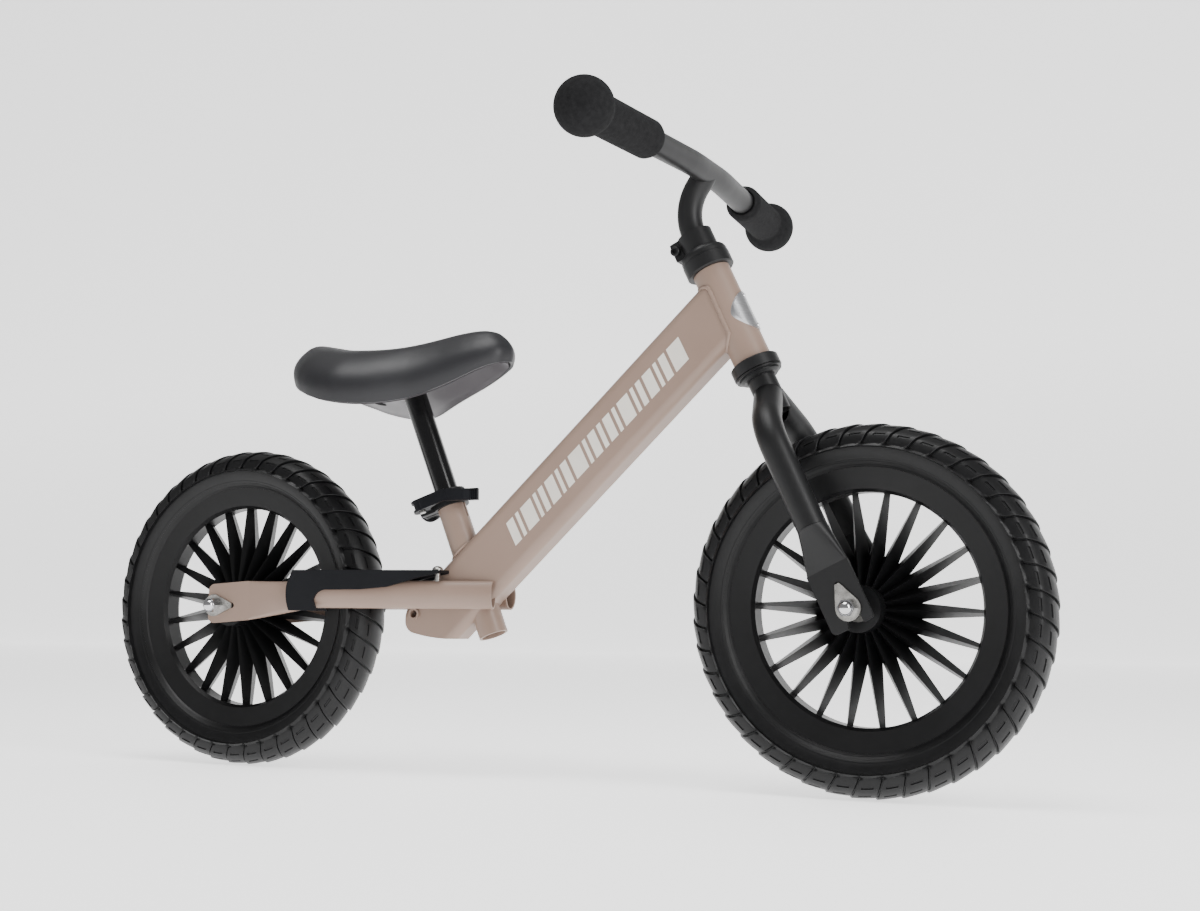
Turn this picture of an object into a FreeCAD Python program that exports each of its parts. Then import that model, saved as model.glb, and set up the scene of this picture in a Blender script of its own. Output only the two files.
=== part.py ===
import FreeCAD, Part
import math
import os

import Sketcher
from FreeCAD import Placement, Rotation, Vector

# A toddler's balance bike: 12-inch wheels, no pedals, no brakes, a quick-release saddle clamp.
# Millimetres. +X points forwards, +Y to the rider's left, +Z up. The origin is on the ground,
# midway between the two axles, in the bike's middle plane.

doc = FreeCAD.newDocument("BalanceBike")
sheet = doc.addObject("Spreadsheet::Sheet", "Dimensions")


# --------------------------------------------------------------------------------------------
# Dimensions
# --------------------------------------------------------------------------------------------

class Size:
    """A dimension: its value, and the sheet expression that gives the same value."""

    def __init__(self, value, text):
        self.value = float(value)
        self.text = text

    @staticmethod
    def of(thing):
        return thing if isinstance(thing, Size) else Size(thing, "(%.9g)" % thing)

    def join(self, sign, other, value):
        return Size(value, "(%s %s %s)" % (self.text, sign, Size.of(other).text))

    def __add__(self, other):
        return self.join("+", other, self.value + Size.of(other).value)

    def __radd__(self, other):
        return self + other

    def __sub__(self, other):
        return self.join("-", other, self.value - Size.of(other).value)

    def __rsub__(self, other):
        return Size.of(other) - self

    def __mul__(self, other):
        return self.join("*", other, self.value * Size.of(other).value)

    def __rmul__(self, other):
        return self * other

    def __truediv__(self, other):
        return self.join("/", other, self.value / Size.of(other).value)

    def __neg__(self):
        return self * -1


def tangent(angle):
    return Size(math.tan(math.radians(angle.value)), "tan(%s)" % angle.text)


def cosine(angle):
    return Size(math.cos(math.radians(angle.value)), "cos(%s)" % angle.text)


sheet_rows = 0


def dimension(alias, value, meaning):
    """A driving dimension, in the next row of the sheet."""
    global sheet_rows
    sheet_rows += 1
    sheet.set("A%d" % sheet_rows, meaning)
    sheet.set("B%d" % sheet_rows, "%.9g" % value)
    sheet.setAlias("B%d" % sheet_rows, alias)
    return Size(value, "Dimensions." + alias)


wheelbase = dimension("wheelbase", 635, "between the two axles")
tyre_radius = dimension("tyre_radius", 155, "12-inch tyre, axle to tread")
tyre_half = dimension("tyre_half", 24, "half the tyre's width")
bead_radius = dimension("bead_radius", 117.4, "where the tyre meets the rim flange")
rim_seat = dimension("rim_seat", 112, "floor of the rim's channel")
rim_opening = dimension("rim_opening", 97, "inside of the rim")
rim_half = dimension("rim_half", 14.5, "half the rim's width at the bead")
flange_wall = dimension("flange_wall", 2.5, "rim flange thickness")
spoke_count = dimension("spoke_count", 22, "spokes in a wheel")
spoke_merge = dimension("spoke_merge", 45, "radius inside which neighbouring spokes meet")
hub_radius = dimension("hub_radius", 19.5, "hub boss")
hub_half = dimension("hub_half", 32, "half the hub's length")
bearing_radius = dimension("bearing_radius", 11, "608 bearing, outside")
bearing_width = dimension("bearing_width", 7, "608 bearing, width")
bearing_split = dimension("bearing_split", 6.25, "middle of the gap between the bearing's rings")
running_gap = dimension("running_gap", 0.08, "radial clearance of a part that turns or slides")
axle_radius = dimension("axle_radius", 4, "M8 axle")
spacer_radius = dimension("spacer_radius", 6, "sleeves on the axle")
plate_wall = dimension("plate_wall", 4, "flattened ends of fork blades and stays")
washer_wall = dimension("washer_wall", 2, "axle retention washer")
nut_flats = dimension("nut_flats", 13, "M8 acorn nut across flats")
front_plate_face = dimension("front_plate_face", 56, "outer face of a fork end, from the middle plane")
rear_plate_face = dimension("rear_plate_face", 54.5, "outer face of a rear dropout, from the middle plane")

steering_lean = dimension("steering_lean", 25.5, "steering axis, back from upright")
head_low = dimension("head_low", 235.8, "head tube's lower end, up the steering axis from the axle")
head_high = dimension("head_high", 328.2, "head tube's upper end")
head_radius = dimension("head_radius", 17, "head tube, outside")
head_bore = dimension("head_bore", 15, "head tube, inside")
steerer_radius = dimension("steerer_radius", 12.7, "steerer tube, outside")
steerer_low = dimension("steerer_low", 186, "steerer tube's open lower end")
steerer_high = dimension("steerer_high", 366, "steerer tube's upper end")
cup_radius = dimension("cup_radius", 21.8, "headset cups, outside")
upper_cup_height = dimension("upper_cup_height", 12.2, "upper headset cup, outside the head tube")
lower_cup_height = dimension("lower_cup_height", 10.2, "lower headset cup, outside the head tube")
cup_skirt = dimension("cup_skirt", 9, "headset cup, inside the head tube")
cap_height = dimension("cap_height", 8.5, "headset cap")
race_height = dimension("race_height", 5.4, "crown race")
seal_gap = dimension("seal_gap", 0.4, "between a headset cup and its turning cap")
fork_radius = dimension("fork_radius", 12.7, "fork blades, outside")
fork_end_half = dimension("fork_end_half", 18.65, "half the width of a fork end")
fork_end_drop = dimension("fork_end_drop", 15, "fork end, below the axle along the steering axis")

tube_radius = dimension("tube_radius", 11.1, "handlebar, stem and seat post, outside")
tube_wall = dimension("tube_wall", 1.6, "wall of the thin tubes")
bar_height = dimension("bar_height", 542.5, "handlebar's middle, above the ground")
bar_forward = dimension("bar_forward", 171.2, "handlebar's middle, ahead of the origin")
bar_reach = dimension("bar_reach", 210.8, "middle of a grip's ball, from the middle plane")
bar_sweep = dimension("bar_sweep", 5.6, "handlebar's backward sweep")
ball_radius = dimension("ball_radius", 24.3, "ball at the grip's outer end")
grip_radius = dimension("grip_radius", 17, "grip sleeve")
grip_inner = dimension("grip_inner", 104, "grip's length from its inner end to the ball's middle")

down_angle = dimension("down_angle", 43.6, "down tube, up from level")
down_half = dimension("down_half", 29, "half the down tube's depth")
down_side = dimension("down_side", 16.5, "half the down tube's width")
down_round = dimension("down_round", 8.5, "down tube's rounded edges")
down_wall = dimension("down_wall", 2, "down tube's wall")
down_rear = dimension("down_rear", -124, "down tube's upright rear end")
down_floor = dimension("down_floor", 125.7, "down tube's level lower end")
seat_lean = dimension("seat_lean", 21.85, "seat tube, back from upright")
seat_foot_x = dimension("seat_foot_x", -38, "seat tube's open lower end, ahead of the origin")
seat_foot_z = dimension("seat_foot_z", 129.4, "seat tube's open lower end, above the ground")
seat_radius = dimension("seat_radius", 13.5, "seat tube, outside")
seat_length = dimension("seat_length", 141, "seat tube's length")
post_low = dimension("post_low", 62, "seat post's lower end, up the seat tube")
post_high = dimension("post_high", 267, "seat post's upper end, up the seat tube's axis")
boss_x = dimension("boss_x", -114, "pedal-kit boss, ahead of the origin")
boss_z = dimension("boss_z", 148.3, "pedal-kit boss, above the ground")
boss_radius = dimension("boss_radius", 5.4, "pedal-kit boss, outside")
boss_bore = dimension("boss_bore", 3.5, "pedal-kit boss, clearance hole for an M6 bolt")
boss_half = dimension("boss_half", 18.5, "half the pedal-kit boss's length")
stay_height = dimension("stay_height", 166, "middle of the rear stays, above the ground")
stay_half = dimension("stay_half", 13, "half the depth of a stay")
stay_side = dimension("stay_side", 7.5, "half the width of a stay")
footrest_top = dimension("footrest_top", 188.5, "top of the footrest covers")
clamp_turn = dimension("clamp_turn", 15, "how far the saddle clamp is turned on its tube")
clamp_middle = dimension("clamp_middle", 135.5, "middle of the saddle clamp, up the seat tube")
clamp_ear = dimension("clamp_ear", 23.5, "clamp bolt, behind the seat tube's axis")

doc.recompute()

front_axle = Vector(wheelbase.value / 2, 0, tyre_radius.value)
rear_axle = Vector(-wheelbase.value / 2, 0, tyre_radius.value)
steering = Placement(front_axle, Rotation(Vector(0, 1, 0), -steering_lean.value))
seat_axis = Placement(Vector(seat_foot_x.value, 0, seat_foot_z.value),
                      Rotation(Vector(0, 1, 0), -seat_lean.value))
crosswise = Rotation(Vector(1, 0, 0), -90)


# --------------------------------------------------------------------------------------------
# Making shapes
# --------------------------------------------------------------------------------------------

nodes = {}


def node(name, thing, place=None):
    """Name a finished sub-part; its Label names its file."""
    if place is not None:
        thing.Placement = place
    thing.Label = name
    nodes[name] = thing
    return thing


def bind(thing, prop, size):
    """Set a property and tie it to the sheet."""
    size = Size.of(size)
    setattr(thing, prop, size.value)
    thing.setExpression(prop, size.text)


def up(distance):
    """A placement that far along +Z."""
    return Placement(Vector(0, 0, Size.of(distance).value), Rotation())


def origin_plane(body, role):
    return [plane for plane in body.Origin.OriginFeatures if plane.Role == role][0]


def add_outline(body, role, corners):
    """A closed sketch on an origin plane.

    A corner is (across, up) or (across, up, radius). A radius makes the side that leaves the corner an
    arc. On an outline that runs anticlockwise a positive radius bulges outwards.
    """
    sketch = body.newObject("Sketcher::SketchObject", "Outline")
    sketch.AttachmentSupport = [(origin_plane(body, role), "")]
    sketch.MapMode = "FlatFace"
    points = [Vector(Size.of(c[0]).value, Size.of(c[1]).value, 0) for c in corners]
    starts = []
    for i, corner in enumerate(corners):
        here, there = points[i], points[(i + 1) % len(points)]
        if len(corner) == 2:
            sketch.addGeometry(Part.LineSegment(here, there))
            starts.append(1)
            continue
        radius = abs(Size.of(corner[2]).value)
        outwards = Size.of(corner[2]).value > 0
        chord = there - here
        right = Vector(chord.y, -chord.x, 0).normalize()
        back = math.sqrt(max(radius ** 2 - (chord.Length / 2) ** 2, 0))
        middle = (here + there) * 0.5 - right * back * (1 if outwards else -1)
        first, last = (here, there) if outwards else (there, here)
        begin = math.atan2(first.y - middle.y, first.x - middle.x)
        end = math.atan2(last.y - middle.y, last.x - middle.x)
        circle = Part.Circle(middle, Vector(0, 0, 1), radius)
        sketch.addGeometry(Part.ArcOfCircle(circle, begin, end))
        starts.append(1 if outwards else 2)
    for i, corner in enumerate(corners):
        before = (i - 1) % len(corners)
        sketch.addConstraint(Sketcher.Constraint("Coincident", before, 3 - starts[before], i, starts[i]))
        for kind, size in (("DistanceX", corner[0]), ("DistanceY", corner[1])):
            size = Size.of(size)
            index = sketch.addConstraint(Sketcher.Constraint(kind, -1, 1, i, starts[i], size.value))
            sketch.setExpression("Constraints[%d]" % index, size.text)
        if len(corner) == 3:
            size = Size.of(corner[2])
            size = size if size.value > 0 else -size
            index = sketch.addConstraint(Sketcher.Constraint("Radius", i, size.value))
            sketch.setExpression("Constraints[%d]" % index, size.text)
    return sketch


def turned(corners):
    """A body of revolution about its own Z axis. Corners are (radius, height)."""
    body = doc.addObject("PartDesign::Body", "Turned")
    sketch = add_outline(body, "XZ_Plane", corners)
    feature = body.newObject("PartDesign::Revolution", "Revolution")
    feature.Profile = sketch
    feature.ReferenceAxis = (sketch, ["V_Axis"])
    feature.Angle = 360
    return body


def slab(role, corners, length):
    """An outline padded equally to both sides of its origin plane."""
    body = doc.addObject("PartDesign::Body", "Slab")
    feature = body.newObject("PartDesign::Pad", "Pad")
    feature.Profile = add_outline(body, role, corners)
    feature.SideType = "Symmetric"
    bind(feature, "Length", length)
    return body


def ring(inner, outer, low, high):
    """A plain tube or ring about its own Z axis."""
    return turned([(inner, low), (outer, low), (outer, high), (inner, high)])


def rod(radius, length, place=None):
    """A cylinder centred on its own origin, along Z."""
    cylinder = doc.addObject("Part::Cylinder", "Rod")
    bind(cylinder, "Radius", radius)
    bind(cylinder, "Height", length)
    cylinder.Placement = (place or Placement()) * up(Size.of(length) / -2)
    return cylinder


def block(wide, deep, high, place=None):
    """A box centred on its own origin."""
    box = doc.addObject("Part::Box", "Block")
    bind(box, "Length", wide)
    bind(box, "Width", deep)
    bind(box, "Height", high)
    middle = Vector(Size.of(wide).value, Size.of(deep).value, Size.of(high).value) * -0.5
    box.Placement = (place or Placement()) * Placement(middle, Rotation())
    return box


def joined(things):
    fuse = doc.addObject("Part::MultiFuse", "Joined")
    fuse.Shapes = things
    fuse.Refine = True
    return fuse


def shared(things):
    common = doc.addObject("Part::MultiCommon", "Shared")
    common.Shapes = things
    return common


def cut(base, tools):
    """The base less every tool."""
    feature = doc.addObject("Part::Cut", "Cut")
    feature.Base = base
    feature.Tool = tools[0] if len(tools) == 1 else joined(tools)
    return feature


def group(things):
    """Separate solids that make one sub-part."""
    compound = doc.addObject("Part::Compound", "Group")
    compound.Links = things
    return compound


def mirrored(thing):
    """The same piece on the bike's other side."""
    mirror = doc.addObject("Part::Mirroring", "Mirror")
    mirror.Source = thing
    mirror.Normal = Vector(0, 1, 0)
    return mirror


def free_shape(shape, name="Free"):
    feature = doc.addObject("Part::Feature", name)
    feature.Shape = shape
    return feature


def rounded_path(points, radii):
    """Straight runs joined by tangent arcs, one radius for each inner point."""
    edges = []
    start = points[0]
    for before, corner, after, radius in zip(points, points[1:], points[2:], radii):
        arriving = (corner - before).normalize()
        leaving = (after - corner).normalize()
        turn = arriving.getAngle(leaving)
        reach = radius * math.tan(turn / 2)
        first = corner - arriving * reach
        last = corner + leaving * reach
        inward = (leaving - arriving).normalize()
        middle = corner + inward * (radius / math.cos(turn / 2) - radius)
        edges.append(Part.LineSegment(start, first).toShape())
        edges.append(Part.Arc(first, middle, last).toShape())
        start = last
    edges.append(Part.LineSegment(start, points[-1]).toShape())
    return Part.Wire(edges)


def swept(path, major, minor, across=Vector(0, 1, 0)):
    """An oval bar along a path. across is the direction of its minor radius at the path's start."""
    spine = free_shape(path, "Path")
    oval = doc.addObject("Part::Ellipse", "Oval")
    bind(oval, "MajorRadius", major)
    bind(oval, "MinorRadius", minor)
    first = path.OrderedEdges[0]
    along = first.tangentAt(first.FirstParameter)
    side = (across - along * across.dot(along)).normalize()
    long_way = side.cross(along)
    turn = Rotation(long_way, side, along, "ZXY")
    oval.Placement = Placement(path.OrderedVertexes[0].Point, turn)
    sweep = doc.addObject("Part::Sweep", "Sweep")
    sweep.Sections = [oval]
    sweep.Spine = (spine, [])
    sweep.Solid = True
    return sweep


def bent_tube(path, radius, wall):
    """A round tube along a path, open at both ends."""
    radius = Size.of(radius)
    slightly = 0.001
    outer = swept(path, radius + slightly, radius)
    inner = swept(path, radius - wall + slightly, radius - wall)
    return cut(outer, [inner])


# --------------------------------------------------------------------------------------------
# Wheels: tyre, one-piece wheel with spokes, bearings, axle and its fastenings
# --------------------------------------------------------------------------------------------

def tyre():
    """A foam tyre whose foot fills the rim's channel."""
    foot = rim_half - flange_wall
    wide_radius = tyre_radius - 21
    shoulder_radius = tyre_radius - 9
    shoulder_half = tyre_half - 2.5
    side_arc = tyre_half
    crown_arc = 30.2
    return turned([
        (rim_seat, -foot),
        (bead_radius, -foot),
        (bead_radius, -rim_half, side_arc),
        (wide_radius, -tyre_half, side_arc),
        (shoulder_radius, -shoulder_half, crown_arc),
        (tyre_radius, 0, crown_arc),
        (shoulder_radius, shoulder_half, side_arc),
        (wide_radius, tyre_half, side_arc),
        (bead_radius, rim_half),
        (bead_radius, foot),
        (rim_seat, foot),
    ])


def spoke():
    """One ridged spoke: a four-sided bar that narrows from the hub out to the rim."""
    root, tip = hub_radius.value - 4, rim_opening.value + 3
    tip_half, tip_depth, root_depth = 2.5, 7.5, 21
    merge_half = spoke_merge.value * math.tan(math.pi / spoke_count.value)
    root_half = merge_half + (merge_half - tip_half) * (spoke_merge.value - root) / (tip - spoke_merge.value)

    def diamond(x, half, depth):
        corners = [Vector(x, half, 0), Vector(x, 0, depth), Vector(x, -half, 0), Vector(x, 0, -depth)]
        return Part.makePolygon(corners + corners[:1])

    ends = [diamond(root, root_half, root_depth), diamond(tip, tip_half, tip_depth)]
    return Part.makeLoft(ends, True, True)


def wheel_casting(first_spoke):
    """Rim, spokes and hub moulded in one piece, with a bearing seat at each end of the hub."""
    lip = rim_opening + 2.5
    foot = rim_half - flange_wall
    rim = turned([
        (rim_opening, -8), (lip, -foot), (bead_radius, -rim_half), (bead_radius, -foot),
        (rim_seat, -foot), (rim_seat, foot), (bead_radius, foot), (bead_radius, rim_half),
        (lip, foot), (rim_opening, 8),
    ])
    hub = turned([(0, -hub_half), (hub_radius, -hub_half), (hub_radius, hub_half), (0, hub_half)])
    one = spoke()
    count = int(spoke_count.value)
    spokes = []
    for i in range(count):
        turn = Placement(Vector(), Rotation(Vector(0, 0, 1), first_spoke + 360.0 * i / count))
        spokes.append(one.transformed(turn.toMatrix()))
    spoke_fan = free_shape(spokes[0].multiFuse(spokes[1:]), "Spokes")
    bore = bearing_radius - 2.5
    seat = hub_half - bearing_width
    space = turned([
        (0, -hub_half - 1), (bearing_radius, -hub_half - 1), (bearing_radius, -seat), (bore, -seat),
        (bore, seat), (bearing_radius, seat), (bearing_radius, hub_half + 1), (0, hub_half + 1),
    ])
    return cut(joined([rim, hub, spoke_fan]), [space])


def both_ends(make):
    """Two of the same, one at each end of a wheel's axle."""
    first, second = make(), make()
    second.Placement = Placement(Vector(), Rotation(Vector(1, 0, 0), 180)) * second.Placement
    return group([first, second])


def retention_washer(face, way):
    """A tear-drop washer whose tab points along way, in the wheel's own plane."""
    eye, tip, tip_half = 10.5, 20.5, 2.2
    slope = math.asin((eye - tip_half) / tip)
    shoulder = Vector(eye * math.sin(slope), eye * math.cos(slope), 0)
    nose = Vector(tip + tip_half * math.sin(slope), tip_half * math.cos(slope), 0)
    body = slab("XY_Plane", [
        (shoulder.x, -shoulder.y), (nose.x, -nose.y), (nose.x, nose.y), (shoulder.x, shoulder.y),
    ], washer_wall)
    flat = joined([body, rod(eye, washer_wall)])
    holed = cut(flat, [rod(axle_radius, washer_wall + 2)])
    tab = block(2.4, 3.2, plate_wall + washer_wall / 2,
                Placement(Vector(tip, 0, -plate_wall.value / 2 - washer_wall.value / 4), Rotation()))
    whole = joined([holed, tab])
    whole.Placement = Placement(Vector(0, 0, face.value + washer_wall.value / 2),
                                Rotation(Vector(0, 0, 1), way))
    return whole


def acorn_nut(face):
    """A domed M8 nut, hollow to three quarters of its height."""
    base = face + washer_wall
    hex_height, dome_radius, depth = 6.5, 5.9, 8.5
    corner = nut_flats / 2 / math.cos(math.pi / 6)
    points = [(corner * math.cos(math.pi / 3 * i), corner * math.sin(math.pi / 3 * i)) for i in range(6)]
    hexagon = slab("XY_Plane", points, hex_height)
    hexagon.Placement = up(base + hex_height / 2)
    dome = turned([
        (0, base), (dome_radius, base), (dome_radius, base + hex_height, dome_radius),
        (0.01, base + hex_height + dome_radius - 1.2), (0, base + hex_height + dome_radius - 1.2),
    ])
    hole = rod(axle_radius, depth, up(base + depth / 2))
    return cut(joined([hexagon, dome]), [hole])


def wheel(end, axle, plate_face, washer_way, first_spoke):
    """All the pieces that sit on one axle. washer_way turns the washers' tabs towards their holes."""
    place = Placement(axle, crosswise)
    node(end + "_tyre", tyre(), place)
    node(end + "_wheel_casting", wheel_casting(first_spoke), place)
    seat = hub_half - bearing_width
    split = running_gap / 2
    outer_ring = both_ends(lambda: ring(bearing_split + split, bearing_radius, seat, hub_half - 0.3))
    node(end + "_bearing_outer_rings", outer_ring, place)
    inner_ring = both_ends(lambda: ring(axle_radius, bearing_split - split, seat, hub_half))
    node(end + "_bearing_inner_rings", inner_ring, place)
    node(end + "_hub_spacer", ring(axle_radius, spacer_radius, -seat, seat), place)
    spacers = both_ends(lambda: ring(axle_radius, spacer_radius, hub_half, plate_face - plate_wall))
    node(end + "_axle_spacers", spacers, place)
    nut_depth = 8.5
    node(end + "_axle", rod(axle_radius, (plate_face + washer_wall + nut_depth) * 2), None)
    nodes[end + "_axle"].Placement = place * nodes[end + "_axle"].Placement
    left = retention_washer(plate_face, washer_way)
    right = retention_washer(plate_face, -washer_way)
    right.Placement = Placement(Vector(), Rotation(Vector(1, 0, 0), 180)) * right.Placement
    node(end + "_retention_washers", group([left, right]), place)
    node(end + "_acorn_nuts", both_ends(lambda: acorn_nut(plate_face)), place)


# The crosswise turn sends a wheel's own +Y down, so a tab that points up the fork turns by more than 90.
wheel("front", front_axle, front_plate_face, -(90 + steering_lean.value), 1.6)
wheel("rear", rear_axle, rear_plate_face, 0, 7.4)


# --------------------------------------------------------------------------------------------
# Frame: head tube, down tube, seat tube, pedal-kit boss and stays
# --------------------------------------------------------------------------------------------

node("head_tube", ring(head_bore, head_radius, head_low, head_high), steering)

# The down tube's middle line passes through (down_x, down_z).
down_x, down_z = -18.5, 215.4
slope = tangent(down_angle)
rise = down_half / cosine(down_angle)


def down_line(x, offset):
    """Height at x of a line parallel to the down tube, that far above its middle line."""
    return down_z + slope * (Size.of(x) - down_x) + offset


def crossing(offset):
    """Where such a line crosses the steering axis."""
    steep = 1 / math.tan(math.radians(steering_lean.value))
    flat = math.tan(math.radians(down_angle.value))
    base = down_z - flat * down_x + offset
    x = (front_axle.z + steep * front_axle.x - base) / (flat + steep)
    return x, base + flat * x


def down_profile(inset):
    """The down tube from the side, its outline moved in by inset."""
    lift = (down_half - inset) / cosine(down_angle)
    top, bottom = crossing(lift.value), crossing(-lift.value)
    rear = down_rear + inset
    floor = down_floor + inset
    heel_height, heel_length = 15, 44
    toe = (floor - down_z + lift) / slope + down_x
    return [
        (rear, floor + heel_height, 12), (rear + 7, floor + 5.5, 170), (rear + heel_length, floor), (toe, floor),
        bottom, top, (rear, down_line(rear, lift)),
    ]


def down_section(inset):
    """The down tube's rounded rectangle, run through its whole length."""
    half, side, edge = down_half - inset, down_side - inset, down_round - inset
    cross = slab("XY_Plane", [
        (-half, side - edge, -edge), (edge - half, side), (half - edge, side, -edge), (half, side - edge),
        (half, edge - side, -edge), (half - edge, -side), (edge - half, -side, -edge), (-half, edge - side),
    ], 700)
    cross.Placement = Placement(Vector(down_x, 0, down_z), Rotation(Vector(0, 1, 0), 90 - down_angle.value))
    return cross


def down_shape(inset):
    return shared([slab("XZ_Plane", down_profile(inset), down_side * 3), down_section(inset)])


down_outside = down_shape(0)
down_tube = cut(down_outside, [
    down_shape(down_wall),
    rod(head_radius, 300, steering * up((head_low + head_high) / 2)),
    rod(seat_radius, 300, seat_axis * up(100)),
    rod(boss_radius, 60, Placement(Vector(boss_x.value, 0, boss_z.value), crosswise)),
])
node("down_tube", down_tube)

slit_height, slit_width = 27, 2.6
slit = block(seat_radius, slit_width, slit_height * 2,
             up(seat_length) * Placement(Vector(seat_radius.value, 0, 0), Rotation()))
seat_bore = tube_radius + running_gap
node("seat_tube", cut(ring(seat_bore, seat_radius, 0, seat_length), [slit]), seat_axis)

boss_place = Placement(Vector(boss_x.value, 0, boss_z.value), crosswise)
node("pedal_kit_boss", ring(boss_bore, boss_radius, -boss_half, boss_half), boss_place)

fold_x = rear_axle.x + 40
tail_x = rear_axle.x - 7.5
fold_z, fold_half = 159.8, 18.6
plate_middle = rear_plate_face.value - plate_wall.value / 2


def stay_point(x, y):
    return Vector(x, y, stay_height.value)


def oval_wire(middle, across, upwards, half_wide, half_high, side_share):
    """A closed section of four edges: two bulging ends, and two sides that are bowed or flat."""
    wide, high = across * half_wide, upwards * half_high
    flat = side_share
    corners = [middle + wide * s + high * t * flat for s, t in ((1, -1), (1, 1), (-1, 1), (-1, -1))]
    bow = 1.0 if half_wide < 3 else 1.18
    right_mid = middle + wide * bow
    left_mid = middle - wide * bow
    top_mid = middle + high
    low_mid = middle - high
    return Part.Wire([
        Part.Arc(corners[0], right_mid + high * 0.0001, corners[1]).toShape()
        if bow > 1 else Part.LineSegment(corners[0], corners[1]).toShape(),
        Part.Arc(corners[1], top_mid, corners[2]).toShape(),
        Part.Arc(corners[2], left_mid + high * 0.0001, corners[3]).toShape()
        if bow > 1 else Part.LineSegment(corners[2], corners[3]).toShape(),
        Part.Arc(corners[3], low_mid, corners[0]).toShape(),
    ])


taper_x, taper_y = -206.0, 48.9
stay_path = rounded_path([stay_point(-30, 16.5), stay_point(-188, 47), stay_point(taper_x - 2, taper_y + 0.2)],
                         [160])
stay_outer = swept(stay_path, stay_half, stay_side)
stay_inner = swept(stay_path, stay_half - tube_wall, stay_side - tube_wall)


def stay_taper():
    """The stay's last stretch, pressed from an oval tube into a flat plate."""
    across, upwards = Vector(0, 1, 0), Vector(0, 0, 1)
    start = stay_point(taper_x, taper_y)
    end = Vector(fold_x, plate_middle, fold_z)
    middle = Vector((taper_x + fold_x) / 2, taper_y + 2.4, 162.3)
    return Part.makeLoft([
        oval_wire(start, across, upwards, (stay_side.value - 0.3) / 1.18, stay_half.value - 0.3, 0.55),
        oval_wire(middle, across, upwards, 4.4, 15.6, 0.75),
        oval_wire(end, across, upwards, plate_wall.value / 2, fold_half, 0.93),
    ], True, False)


def dropout_plate():
    """The flat end, with an open slot for the axle and a small hole for the washer's tab."""
    slot_half, mouth_half = 5.0, 7.5
    slot_end = rear_axle.x + 1
    plate = slab("XZ_Plane", [
        (tail_x + 6, 138), (fold_x, fold_z - fold_half), (fold_x, fold_z + fold_half), (tail_x + 7, 175.7, 7),
        (tail_x, 169), (tail_x, tyre_radius + mouth_half), (slot_end, tyre_radius + slot_half, -slot_half),
        (slot_end + slot_half, tyre_radius, -slot_half), (slot_end, tyre_radius - slot_half),
        (tail_x, tyre_radius - mouth_half), (tail_x, 144, 7),
    ], plate_wall)
    plate.Placement = Placement(Vector(0, plate_middle, 0), Rotation())
    tab_hole = rod(2.6, 20, Placement(Vector(rear_axle.x + 20.5, plate_middle, rear_axle.z), crosswise))
    return cut(plate, [tab_hole])


left_stay = cut(joined([stay_outer, free_shape(stay_taper(), "Taper"), dropout_plate()]),
                [stay_inner, down_outside])
node("left_stay", left_stay)
node("right_stay", mirrored(left_stay))


# --------------------------------------------------------------------------------------------
# Footrest covers: plastic channels that sit on the stays, each with a clip and one screw
# --------------------------------------------------------------------------------------------

def band_along_stay(half_wide, low, high):
    """A strip that follows the left stay when seen from above, between two heights."""
    inner, outer = [], []
    for x, y in ((-70, 24.2), (-188, 47), (-236, plate_middle - 0.5)):
        inner.append((x, y - half_wide))
        outer.append((x, y + half_wide))
    strip = slab("XY_Plane", outer + inner[::-1], high - low)
    strip.Placement = up((high + low) / 2)
    return strip


cover_wall = 2.2
cover_tip = rear_axle.x + 240
clip_rear, clip_front = rear_axle.x + 91, rear_axle.x + 122.5
cover_side = slab("XZ_Plane", [
    (clip_rear + 1, 150.5), (clip_front - 1, 150.5), (clip_front - 5, 160, -12), (clip_front + 7, 170),
    (rear_axle.x + 165, 170.5), (rear_axle.x + 190, 173), (rear_axle.x + 222, 182),
    (cover_tip, footrest_top - 3), (cover_tip, footrest_top), (clip_rear + 4, footrest_top),
    (clip_rear - 1.5, 176, 40),
], 240)
cover_hollow = band_along_stay(stay_side.value + 0.15, 100, footrest_top.value - 2.5)
cover_space = shared([cover_side, band_along_stay(stay_side.value + 0.15 + cover_wall, 140, 200)])
screw_spot = Placement(Vector(cover_tip - 6, 26.8, 0), Rotation())
screw_hole = rod(2.6, 40, screw_spot * up(footrest_top))
left_footrest = cut(cover_space, [cover_hollow, stay_outer, down_outside, screw_hole])
node("left_footrest", left_footrest)
node("right_footrest", mirrored(left_footrest))


def footrest_screw():
    """A dome-headed screw standing in the stay, through the cover's front end."""
    head_low_z = footrest_top
    return turned([
        (0, stay_height + stay_half - 1.5), (2.5, stay_height + stay_half - 1.5), (2.5, head_low_z),
        (5, head_low_z), (5, head_low_z + 1.5, 5.5), (0.01, head_low_z + 4), (0, head_low_z + 4),
    ])


left_screw = footrest_screw()
left_screw.Placement = screw_spot
node("footrest_screws", group([left_screw, mirrored(left_screw)]))


# --------------------------------------------------------------------------------------------
# Headset, on the steering axis
# --------------------------------------------------------------------------------------------

bearing_pocket = 18.2
pocket_depth = 5.2
skirt_bore = 13.4


def cup(edge, way, height):
    """A pressed cup with a skirt in the head tube and an open bearing pocket. way is +1 above, -1 below."""
    def at(distance):
        return edge + way * distance

    corners = [
        (skirt_bore, at(-cup_skirt)), (head_bore, at(-cup_skirt)), (head_bore, at(0)),
        (cup_radius - 1, at(0)), (cup_radius, at(1)), (cup_radius, at(height)),
        (bearing_pocket, at(height)), (bearing_pocket, at(height - pocket_depth)),
        (skirt_bore, at(height - pocket_depth)),
    ]
    return turned(corners if way > 0 else corners[::-1])


node("upper_headset_cup", cup(head_high, 1, upper_cup_height), steering)
node("lower_headset_cup", cup(head_low, -1, lower_cup_height), steering)

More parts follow.
